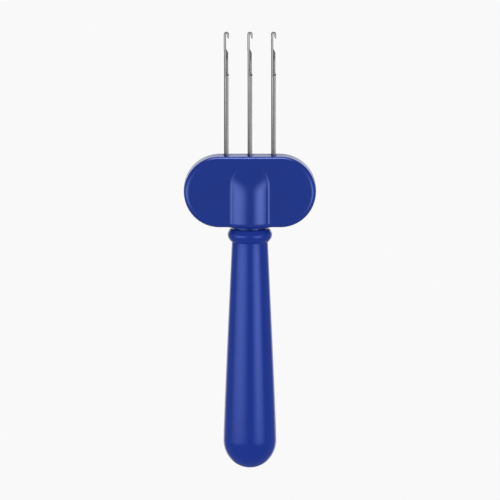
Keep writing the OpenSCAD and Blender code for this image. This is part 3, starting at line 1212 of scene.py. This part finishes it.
    def posts(self, side: Side) -> list[BMesh]:
        """The screw posts inside a cover and, at the neck, the two cheeks of the tang's socket.

        Args:
            side: which cover they stand in.

        Returns:
            The posts and the cheeks, lying as the tray does.
        """
        parts = []
        top = self.half - self.wall + self.bond
        bore = self.screw_bore if side is Side.BACK else self.screw_radius
        for way in (-1, 1):
            bm = bmesh.new()
            chain = Chain(bm, at(bore, 0)).line(
                at(self.post_radius, 0), at(self.post_radius, top), at(bore, top),
            ).close()
            full_turn(bm, chain, self.post_around)
            shift(bm, X_AXIS * self.post * way)
            parts.append(bm)
            low, high = sorted((way * (self.tang_radius + self.bond), way * self.socket_half))
            parts.append(block(
                (low, self.wall / 2 - self.radius, self.socket_low),
                (high, self.socket_top - self.middle, top), self.socket_round,
            ))
        return parts

    @property
    def _boss_rest(self) -> tuple[float, float]:
        """What the boss's side and foot arcs leave for its crown.

        Returns:
            The rest of its half width and the rest of its height.
        """
        slope, both = math.radians(self.boss_slope), self.boss_side + self.boss_foot
        up = self.boss_proud - both * (1 - math.cos(slope))
        return self.boss_half - both * math.sin(slope), up

    @property
    def boss_join(self) -> float:
        """The slope in degrees where the boss's crown arc meets its side arc."""
        across, up = self._boss_rest
        return 2 * math.degrees(math.atan2(up, across))

    @property
    def boss_crown(self) -> float:
        """The radius of the boss's crown."""
        return self.boss_side + self._boss_rest[0] / math.sin(math.radians(self.boss_join))

    @property
    def boss_centres(self) -> tuple[Vector, Vector, Vector]:
        """Where the arcs of the boss's outline have their centres, on its right half.

        Returns:
            The centres of the crown, the side and the foot.
        """
        join = math.radians(self.boss_join)
        crown = at(0, self.boss_proud - self.boss_crown)
        side = crown + at(math.sin(join), math.cos(join)) * (self.boss_crown - self.boss_side)
        return crown, side, at(self.boss_half, self.boss_foot)

    def boss_outline(self, bm: BMesh) -> Chain:
        """The boss's outline above the cover's face, from one foot over the crown to the other.

        Args:
            bm: the bmesh to draw it in.

        Returns:
            The outline.
        """
        crown, side, foot = self.boss_centres
        turn = self.boss_slope - self.boss_join
        chain = Chain(bm, at(-self.boss_half, 0))
        chain.arc(at(-foot.x, foot.z), self.boss_slope, self.arc_steps)
        chain.arc(at(-side.x, side.z), -turn, self.arc_steps)
        chain.arc(crown, -2 * self.boss_join, self.crown_steps)
        chain.arc(side, -turn, self.arc_steps)
        chain.arc(foot, self.boss_slope, self.arc_steps)
        return chain

    def _ramp(self) -> list[Triple]:
        """How the boss runs out towards the needles.

        Returns:
            Heights up the head, each with the outline's width and depth there as shares of the
            full outline's.
        """
        slope = math.radians(self.boss_ramp_slope)
        foot_end = self.boss_half - self.boss_foot * math.sin(slope)
        fall = self.boss_ramp * (1 - math.cos(slope))
        left = self.boss_proud - fall - self.boss_foot * (1 - math.cos(slope))
        crest_end = foot_end - left / math.tan(slope)
        start = crest_end - self.boss_ramp * math.sin(slope)
        places = [start * (1 - k / self.ramp_steps) for k in range(self.ramp_steps + 1)]
        turns = (math.radians(90 * k / self.tip_steps) for k in range(1, self.tip_steps))
        places += [self.boss_half * math.sin(turn) for turn in turns]
        rows = []
        for up in places:
            if up < crest_end:
                drop = self.boss_ramp - math.sqrt(self.boss_ramp**2 - (up - start) ** 2)
                depth = self.boss_proud - drop
            elif up < foot_end:
                depth = self.boss_proud - fall - (up - crest_end) * math.tan(slope)
            else:
                out = self.boss_half - up
                depth = self.boss_foot - math.sqrt(self.boss_foot**2 - out**2)
            width = math.sqrt(self.boss_half**2 - max(up, 0) ** 2)
            rows.append((up, width / self.boss_half, depth / self.boss_proud))
        return rows

    def boss(self) -> BMesh:
        """The raised boss: an S-sided section that ramps out upwards, with a rounded lower end.

        Returns:
            The boss, lying as the tray does.
        """
        bm = bmesh.new()
        chain = self.boss_outline(bm)
        rows = self._ramp()
        shift(bm, Y_AXIS * rows[0][0])
        self._run_down(bm, chain.edges, rows[0][0] + self.radius + self.boss_arch - self.rim)
        edges = chain.edges
        for (low, wide, deep), (high, now_wide, now_deep) in zip(rows, rows[1:]):
            edges = pulled(bm, edges, Y_AXIS * (high - low))
            verts = list({v for e in edges for v in e.verts})
            bmesh.ops.scale(bm, vec=(now_wide / wide, 1, now_deep / deep), verts=verts)
        tip = list({v for e in edges for v in e.verts})
        bmesh.ops.pointmerge(bm, verts=tip, merge_co=Y_AXIS * self.boss_half)
        return self._rooted(bm)

    def _run_down(self, bm: BMesh, edges: list[BMEdge], drop: float) -> None:
        """Draw an outline straight down, then round its lower end over.

        Args:
            bm: the bmesh.
            edges: the outline's edges.
            drop: how far the straight run goes.
        """
        moved = pulled(bm, edges, Y_AXIS * -drop)
        outward = {v: self._outward(v.co) for e in moved for v in e.verts}
        for step in range(1, self.rim_steps + 1):
            before, now = (math.radians(90 * k / self.rim_steps) for k in (step - 1, step))
            down = Vector((0, -self.rim * (math.sin(now) - math.sin(before)), 0))
            inward = self.rim * (math.cos(before) - math.cos(now))
            ways = {v.co.copy().freeze(): way for v, way in outward.items()}
            moved = pulled(bm, moved, Vector())
            outward = {v: ways[v.co.copy().freeze()] for e in moved for v in e.verts}
            for v, way in outward.items():
                bmesh.ops.translate(bm, vec=down - way * inward, verts=[v])

    def _outward(self, point: Vector) -> Vector:
        """The direction that the boss's full outline faces at one of its points.

        Args:
            point: the point.

        Returns:
            The direction, one long.
        """
        crown, side, foot = self.boss_centres
        here = at(abs(point.x), point.z)
        side_end = self.boss_half - self.boss_foot * math.sin(math.radians(self.boss_slope))
        if here.x <= self.boss_crown * math.sin(math.radians(self.boss_join)):
            way = here - crown
        elif here.x <= side_end:
            way = here - side
        else:
            way = foot - here
        way = way.normalized()
        return at(math.copysign(way.x, point.x) if point.x else 0.0, way.z)

    def _rooted(self, bm: BMesh) -> BMesh:
        """Carry the boss's open border down into the wall and close it there.

        Args:
            bm: the boss.

        Returns:
            The same bmesh, in its place on the tray.
        """
        border = [e for e in bm.edges if len(e.link_faces) == 1]
        made = bmesh.ops.extrude_edge_only(bm, edges=border)
        new = [g for g in made["geom"] if isinstance(g, BMVert)]
        for v in new:
            v.co.z = -self.boss_root
        bmesh.ops.remove_doubles(bm, verts=new, dist=CLOSE)
        bmesh.ops.holes_fill(bm, edges=[e for e in bm.edges if e.is_boundary], sides=0)
        bmesh.ops.recalc_face_normals(bm, faces=bm.faces[:])
        shift(bm, Vector((0, self.boss_arch, self.half - self.boss_sunk)))
        return bm

    def cover(self, side: Side) -> BMesh:
        """One cover with its boss and posts, in its place.

        Args:
            side: which cover it is.

        Returns:
            The cover in millimetres.
        """
        shell = carve(self.tray(), self.openings(side))
        whole = gather(shell, self.boss(), *self.posts(side))
        bmesh.ops.transform(whole, matrix=self.facing(side), verts=whole.verts[:])
        return whole

    def screws(self) -> BMesh:
        """The two screws that close the covers from behind.

        Returns:
            Both screws in millimetres, in their places.
        """
        seat = self.half - self.wall
        top = seat + self.screw_head_height
        edge, flank = top - self.screw_head_round, self.screw_head_radius - self.screw_head_round
        parts = []
        for way in (-1, 1):
            bm = bmesh.new()
            chain = Chain(bm, at(0, -self.screw_reach)).line(
                at(self.screw_radius / 2, -self.screw_reach),
                at(self.screw_radius, self.screw_point - self.screw_reach),
                at(self.screw_radius, seat), at(self.screw_head_radius, seat),
                at(self.screw_head_radius, edge),
            )
            chain.arc(at(flank, edge), 90, self.screw_head_steps).line(at(0, top))
            full_turn(bm, chain, self.screw_around)
            arms = [self._cross_arm(top, turn + self.cross_turn * way) for turn in (0, 90)]
            screw = carve(bm, gather(*arms))
            shift(screw, X_AXIS * self.post * way)
            parts.append(screw)
        whole = gather(*parts)
        bmesh.ops.transform(whole, matrix=self.facing(Side.BACK), verts=whole.verts[:])
        return whole

    def _cross_arm(self, top: float, degrees: float) -> BMesh:
        """The cutter of one arm of a screw's cross, narrower at its bottom.

        Args:
            top: where the screw's head ends.
            degrees: how far the arm is turned.

        Returns:
            The cutter, round the screw's axis.
        """
        length, width, depth = self.cross
        low = (-length / 2, -width / 2, top - depth)
        arm = block(low, (length / 2, width / 2, top + self.past), 0)
        deep = [v for v in arm.verts if v.co.z < top]
        bmesh.ops.scale(arm, vec=self.cross_narrowed, verts=deep)
        turn_over(arm, degrees, "Z")
        return arm

    def build(self, plastic: Material, metal: Material) -> None:
        """Make and dress the covers and their screws.

        Args:
            plastic: the covers' material.
            metal: the screws' material.
        """
        for side in Side:
            word = side.name.lower()
            finish_piece(
                self.cover(side), f"{word}_cover", "tool", plastic,
                (f"head_{word}_shell",),
            )
        finish_piece(self.screws(), "cover_screws", "tool", metal, ("shell_screws",))


# ---------------------------------------------------------------------------------------------
# Needles and latches


@dataclass
class Needle:
    """One latch needle: shank, web, the cheeks that carry the rivet, hook and latch."""

    place: Place
    pitch: float = 9
    spine: float = -0.37
    spine_radius: float = 0.51
    front: float = 0.96
    web_half: float = 0.3
    web_round: float = 0.14
    web_steps: int = 3
    web_rolled: float = 0.5
    bottom: float = 106.987
    foot_back: float = 0.66
    foot_reach: float = 3.36
    foot_height: float = 1.1
    slot_bottom: float = 150.327
    slot_half: float = 0.26
    spoon_relief: float = 151.87
    relief_x: float = -0.05
    relief_slant: float = 0.35
    cheek_overlap: float = 0.3
    cheek_low: float = 0.3
    cheek_front: float = 0.77
    cheek_bottom: float = 156.847
    cheek_slant: float = 0.5
    cheek_top: float = -0.2
    plate_round: float = 0.07
    shoulder: tuple[float, float] = (159.467, 161.217)
    shoulder_steps: int = 6
    stem: float = -0.53
    wire: float = 0.43
    bend_height: float = 166.487
    bend_radius: float = 0.57
    bend_steps: int = 20
    tip_height: float = 165.147
    tip_flare: float = 0.14
    tip_radius: float = 0.28
    tip_steps: int = 5
    dome_steps: int = 6
    sides: int = 40
    # Where the painted shade on the wire's flanks starts and fades, by how squarely a vertex faces
    # front or back.
    dark_front: tuple[float, float] = (0.97, 0.06)
    dark_side: tuple[float, float] = (0.1, 0.2)
    rivet: tuple[float, float] = (0.15, 157.947)
    rivet_radius: float = 0.3
    rivet_end: float = 0.6
    rivet_around: int = 28
    latch_half: float = 0.21
    latch_steps: int = 3
    eye: float = 0.5
    eye_round: float = 0.06
    eye_play: float = 0.02
    eye_around: int = 36
    blade: tuple[float, float] = (0.14, 0.74)
    blade_root: float = 1.6
    blade_top: float = 0.28
    blade_shoulder: float = 0.9
    blade_end: float = 0.55
    blade_slant: float = 0.05
    spoon_height: float = 151.097
    spoon_radius: float = 0.65
    spoon_depth: float = 0.95
    spoon_hollow: float = 0.45
    spoon_back_round: float = 0.3
    spoon_lip: float = 0.1
    spoon_turns: tuple[float, ...] = (20, 40, 60, 75)
    # How much of the near-black paint the spoon takes: it is painted darker.
    spoon_painted_dark: float = 0.5
    spoon_steps: int = 6

    @property
    def across(self) -> Vector:
        """From the tool's axis to the needle's."""
        return X_AXIS * self.place.value * self.pitch

    def wire_shape(self) -> BMesh:
        """The round back of the shank, drawn down to the stem and bent over into the hook.

        Returns:
            The wire in millimetres, with its polished bands marked and the bands between them
            painted dark.
        """
        bm = bmesh.new()
        low, high = self.shoulder
        rod = Rod(bm, at(self.spine, self.bottom), self.spine_radius, self.sides)
        rod.grow(at(0, low - self.bottom))
        steps = self.shoulder_steps
        narrow = (self.wire / self.spine_radius) ** (1 / steps)
        for _ in range(steps):
            rod.grow(at((self.stem - self.spine) / steps, (high - low) / steps), narrow)
        rod.grow(at(0, self.bend_height - high))
        pivot = at(self.stem + self.bend_radius, self.bend_height)
        rod.bend(pivot, 180, self.bend_steps, -ANTICLOCKWISE)
        fall, steps = self.bend_height - self.tip_height, self.tip_steps
        lean = math.degrees(math.atan2(self.tip_flare, fall))
        narrow = (self.tip_radius / self.wire) ** (1 / steps)
        for step in range(steps):
            rod.grow(at(self.tip_flare / steps, -fall / steps), narrow)
            if step == 0:
                rod.tilt(lean, ANTICLOCKWISE)
        rod.dome(at(self.tip_flare, -fall), self.tip_radius, self.dome_steps)
        self._mark_bands(bm)
        return bm

    def _mark_bands(self, bm: BMesh) -> None:
        """Mark where the wire faces front, back or sideways as polished, and paint the bands
        between near black, a painted shade standing in for the dark reflections along its edges.

        Args:
            bm: the wire.
        """
        bm.normal_update()
        painted_dark, rolled = (bm.verts.layers.float.new(name) for name in (PAINTED_DARK, ROLLED))
        (front, front_fade), (side, side_fade) = self.dark_front, self.dark_side
        for v in bm.verts:
            facing = abs(v.normal.y)
            dark_paint = held((front - facing) / front_fade) * held((facing - side) / side_fade)
            v[painted_dark], v[rolled] = dark_paint, 1.0 - dark_paint

    def cheek_shape(self, way: int) -> BMesh:
        """One of the two cheeks beside the latch's slot.

        Args:
            way: 1 for the far cheek and -1 for the near one.

        Returns:
            The cheek in millimetres.
        """
        low, high = self.shoulder
        bottom = self.slot_bottom - self.cheek_overlap
        corners = [
            (self.spine, bottom), (self.relief_x, bottom), (self.relief_x, self.spoon_relief),
            (self.cheek_low, self.spoon_relief + self.relief_slant),
            (self.cheek_low, self.cheek_bottom - self.cheek_slant),
            (self.cheek_front, self.cheek_bottom), (self.cheek_front, low),
            (self.cheek_top, high), (self.spine, high),
        ]
        near, far = sorted((way * self.slot_half, way * self.spine_radius))
        return plate([at(*corner) for corner in corners], near, far, self.plate_round)

    def shape(self) -> BMesh:
        """The whole needle, in its place.

        Returns:
            The needle in millimetres.
        """
        half = self.web_half
        web, foot = (
            block((back, -half, self.bottom), (front, half, top), self.web_round, self.web_steps)
            for back, front, top in (
                (self.spine, self.front, self.slot_bottom),
                (self.foot_back, self.foot_reach, self.bottom + self.foot_height),
            )
        )
        marked(web, ROLLED, self.web_rolled)
        whole = gather(self.wire_shape(), web, foot, self.cheek_shape(-1), self.cheek_shape(1))
        shift(whole, self.across)
        return whole

    def rivet_shape(self) -> BMesh:
        """The rivet that the latch turns on, with both ends peened over.

        Returns:
            The rivet in millimetres.
        """
        bm = bmesh.new()
        x, z = self.rivet
        radius, length = self.rivet_radius, self.spine_radius
        end, edge = radius * self.rivet_end, length - self.plate_round
        chain = Chain(bm, at(0, -length)).line(
            at(end, -length), at(radius, -edge), at(radius, edge), at(end, length), at(0, length),
        )
        full_turn(bm, chain, self.rivet_around)
        turn_over(bm, 90, "X")
        shift(bm, at(x, z) + self.across)
        return bm

    def eye_shape(self) -> BMesh:
        """The latch's eye, a ring round the rivet.

        Returns:
            The ring in millimetres.
        """
        bm = bmesh.new()
        bore, rim, half = self.rivet_radius + self.eye_play, self.eye, self.latch_half
        flat, edge = rim - self.eye_round, half - self.eye_round
        chain = Chain(bm, at(bore, -half)).line(
            at(flat, -half), at(rim, -edge), at(rim, edge), at(flat, half), at(bore, half),
        ).close()
        full_turn(bm, chain, self.eye_around)
        turn_over(bm, 90, "X")
        shift(bm, at(*self.rivet))
        return bm

    def latch_shape(self) -> BMesh:
        """The latch hanging open: its eye, its blade and the spoon, whose hollow faces outwards.

        Returns:
            The latch in millimetres.
        """
        x, z = self.rivet
        back, front = self.blade
        top, side = z - self.blade_top, self.eye * self.blade_shoulder
        corners = [
            (x - side, top), (x + side, top), (front, z - self.blade_root),
            (front, self.spoon_height + self.spoon_radius * self.blade_end),
            (front - self.blade_slant, self.spoon_height), (back, self.spoon_height),
            (back, z - 2 * self.eye),
        ]
        outline = [at(*corner) for corner in corners]
        half = self.latch_half
        blade = plate(outline, -half, half, self.plate_round, self.latch_steps)
        whole = gather(self.eye_shape(), blade, self.spoon_shape())
        shift(whole, self.across)
        return whole

    def spoon_shape(self) -> BMesh:
        """The spoon at the latch's end: a round cup with a rolled rim, opening along X.

        Returns:
            The spoon in millimetres, marked to take half of the near-black paint, which darkens it.
        """
        bm = bmesh.new()
        rim, lip, back = self.spoon_radius, self.spoon_lip, self.spoon_back_round
        mouth = self.spoon_depth - lip
        chain = Chain(bm, Vector()).line(at(rim - back, 0))
        chain.arc(at(rim - back, back), 90, self.spoon_steps).line(at(rim, mouth))
        chain.arc(at(rim - lip, mouth), 180, self.spoon_steps)
        for angle in map(math.radians, self.spoon_turns):
            down = (self.spoon_hollow - lip) * math.sin(angle)
            chain.line(at((rim - 2 * lip) * math.cos(angle), mouth - down))
        chain.line(at(0, self.spoon_depth - self.spoon_hollow))
        full_turn(bm, chain, self.eye_around)
        turn_over(bm, 90, "Y")
        shift(bm, at(self.front - self.spoon_depth, self.spoon_height))
        return marked(bm, PAINTED_DARK, self.spoon_painted_dark)

    def build(self, needle: Material, bright: Material) -> None:
        """Make and dress the needle, its rivet and its latch.

        Args:
            needle: the material of the needle and the latch.
            bright: the rivet's material.
        """
        word = self.place.word
        finish_piece(
            self.shape(), f"hooked_needle_{word}", "tool", needle,
            (f"needle_{word}",), flat_faces=True,
        )
        finish_piece(
            self.rivet_shape(), f"peened_rivet_{word}", "tool", bright,
            (f"rivet_{word}",),
        )
        finish_piece(
            self.latch_shape(), f"spoon_latch_{word}", f"latch_{word}", needle,
            (f"latch_{word}",), flat_faces=True,
        )


@dataclass(frozen=True)
class InnerParts:
    """The parts inside the head that keep their CAD shape."""

    tang: tuple[str, ...] = ("tang", "tang_pin")
    bed: tuple[str, ...] = ("needle_bed",)
    clamp: tuple[str, ...] = ("clamp_plate", "clamp_screws")

    def dress(self, steel: Material, plastic: Material, zinc: Material) -> None:
        """Give each its finish.

        Args:
            steel: the tang's material.
            plastic: the bed's material.
            zinc: the clamp's material.
        """
        for names, look in ((self.tang, steel), (self.bed, plastic), (self.clamp, zinc)):
            for name in names:
                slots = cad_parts[name].material_slots
                for each in slots:
                    each.material = look
                LOG.info("%s: CAD shape kept, %d slots dressed", name, len(slots))


# ---------------------------------------------------------------------------------------------
# Studio


@dataclass(frozen=True)
class Softbox:
    """A rectangular lamp on a circle round the tool that fades from its middle to its edges."""

    name: str
    azimuth: float
    elevation: float
    aim_height: float
    wide: float
    high: float
    radiance: float
    away: float = 1.4

    def build(self) -> None:
        """Hang the lamp so that it faces the tool's axis."""
        turn, rise = math.radians(self.azimuth), math.radians(self.elevation)
        level = math.cos(rise)
        way = Vector((math.sin(turn) * level, -math.cos(turn) * level, math.sin(rise)))
        lamp = bpy.data.lights.new(self.name, "AREA")
        lamp.shape = "RECTANGLE"
        lamp.size, lamp.size_y = (
            2 * self.away * math.tan(math.radians(width / 2)) for width in (self.wide, self.high)
        )
        lamp.energy = WATTS * lamp.size * lamp.size_y * self.radiance
        lamp.use_nodes = True
        wires = Wiring(lamp.node_tree)
        glow = wires.node("Emission")
        spot = wires.node("SeparateXYZ")
        wires.feed(spot.inputs[0], wires.node("NewGeometry").outputs["Parametric"])
        fades = []
        for share in spot.outputs[:2]:
            off_middle = wires.math("ABSOLUTE", wires.math("SUBTRACT", share, 0.5))
            fades.append(wires.span(off_middle, 0.5, 0.0, 0.0, 1.0, "SMOOTHSTEP"))
        wires.feed(glow.inputs["Strength"], wires.math("MULTIPLY", *fades))
        wires.feed(wires.node("OutputLight").inputs["Surface"], glow.outputs[0])
        held_up = bpy.data.objects.new(self.name, lamp)
        held_up.location = Z_AXIS * self.aim_height + way * self.away
        held_up.rotation_euler = way.to_track_quat("Z", "Y").to_euler()
        held_up.visible_camera = held_up.visible_diffuse = False
        bpy.context.scene.collection.objects.link(held_up)


@dataclass(frozen=True)
class Studio:
    """The pale floor, the soft lamps, the room's light and the camera."""

    aim: Triple = (0.00004, 0, 0.08347)
    elevation: float = 8
    away: float = 4.5
    frame_width: float = 0.1911
    sensor: float = 36
    clip: tuple[float, float] = (0.05, 50)
    floor_level: float = -0.25
    floor_size: float = 20
    white: float = 0.947
    fill: float = 0.85
    backdrop_from: tuple[float, float] = (0.7, 0.85)
    backdrop_glow: tuple[float, float] = (0.1, 0.9)
    horizon: tuple[float, float] = (0.07, 0.12)
    horizon_fall: float = 2.0
    front_from: tuple[float, float] = (-0.2, -0.6)
    front_glow: tuple[float, float] = (0.2, 0.23)
    lamps: tuple[Softbox, ...] = (
        Softbox("left_softbox", -50, 0, 0.06, 92, 54, 1.5, away=0.35),
        Softbox("right_softbox", 41, 0, 0.06, 66, 54, 1.75, away=0.35),
        Softbox("top_softbox", 0, 88, 0.1, 60, 44, 4.7),
    )

    def camera(self) -> None:
        """Stand the camera in front of the tool, a little above it."""
        data = bpy.data.cameras.new("camera")
        data.sensor_width = self.sensor
        data.lens = self.sensor * self.away / self.frame_width
        data.clip_start, data.clip_end = self.clip
        rise = math.radians(self.elevation)
        back = Vector((0, -math.cos(rise), math.sin(rise)))
        camera = bpy.data.objects.new("camera", data)
        camera.location = Vector(self.aim) + back * self.away
        camera.rotation_euler = back.to_track_quat("Z", "Y").to_euler()
        bpy.context.scene.collection.objects.link(camera)
        bpy.context.scene.camera = camera

    def room(self) -> None:
        """White for the camera, even light on dull surfaces and a lit backdrop for glossy ones."""
        world = bpy.data.worlds.new("studio")
        bpy.context.scene.world = world
        world.use_nodes = True
        wires = Wiring(world.node_tree)
        path = wires.node("LightPath")
        way = wires.node("SeparateXYZ")
        wires.feed(way.inputs[0], wires.node("TexCoord").outputs["Generated"])
        behind = wires.span(way.outputs["Y"], *self.backdrop_from, 0.0, 1.0)
        aside = wires.math("ABSOLUTE", way.outputs["X"])
        raised = wires.math("MULTIPLY", aside, self.horizon_fall)
        height = wires.math("ADD", way.outputs["Z"], raised)
        above = wires.span(height, *self.horizon, *self.backdrop_glow)
        front = wires.span(way.outputs["Y"], *self.front_from, *self.front_glow)
        mirrored = wires.math("MAXIMUM", wires.math("MULTIPLY", behind, above), front)
        lit = wires.choose(path.outputs["Is Glossy Ray"], self.fill, mirrored)
        light = wires.node("Background")
        light.inputs["Color"].default_value = (1, 1, 1, 1)
        strength = wires.choose(path.outputs["Is Camera Ray"], lit, self.white)
        wires.feed(light.inputs["Strength"], strength)
        wires.feed(wires.node("OutputWorld").inputs["Surface"], light.outputs[0])

    def floor(self) -> None:
        """A wide pale floor well below the tool, as white as the room."""
        bm = bmesh.new()
        bmesh.ops.create_grid(
            bm, x_segments=1, y_segments=1, size=self.floor_size,
            matrix=Matrix.Translation((0, 0, self.floor_level)),
        )
        mesh = bpy.data.meshes.new("floor")
        bm.to_mesh(mesh)
        bm.free()
        look = bpy.data.materials.new("pale_floor")
        look.use_nodes = True
        wires = Wiring(look.node_tree)
        glow = wires.node("Emission")
        glow.inputs["Color"].default_value = (1, 1, 1, 1)
        glow.inputs["Strength"].default_value = self.white
        wires.feed(wires.node("OutputMaterial").inputs["Surface"], glow.outputs[0])
        mesh.materials.append(look)
        floor = bpy.data.objects.new("floor", mesh)
        floor.visible_diffuse = floor.visible_glossy = floor.visible_shadow = False
        bpy.context.scene.collection.objects.link(floor)

    def build(self) -> None:
        """Set the whole studio up."""
        self.camera()
        self.room()
        self.floor()
        for lamp in self.lamps:
            lamp.build()
        view = bpy.context.scene.view_settings
        view.view_transform, view.look, view.exposure, view.gamma = "Standard", "None", 0, 1


def main() -> None:
    """Build every part of the tool in order."""
    logging.basicConfig(level=logging.INFO, format="%(name)s: %(message)s")
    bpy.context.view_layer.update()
    Studio().build()
    effects = Effects()
    blue, grip, dark, needle, bright, zinc = (
        look.material(effects) for look in (BLUE, GRIP_BLUE, DARK, NEEDLE, BRIGHT, ZINC)
    )
    Handle().build(grip)
    Head().build(blue, zinc)
    for place in Place:
        Needle(place).build(needle, bright)
    InnerParts().dress(bright, dark, zinc)


if __name__ == "__main__":
    main()
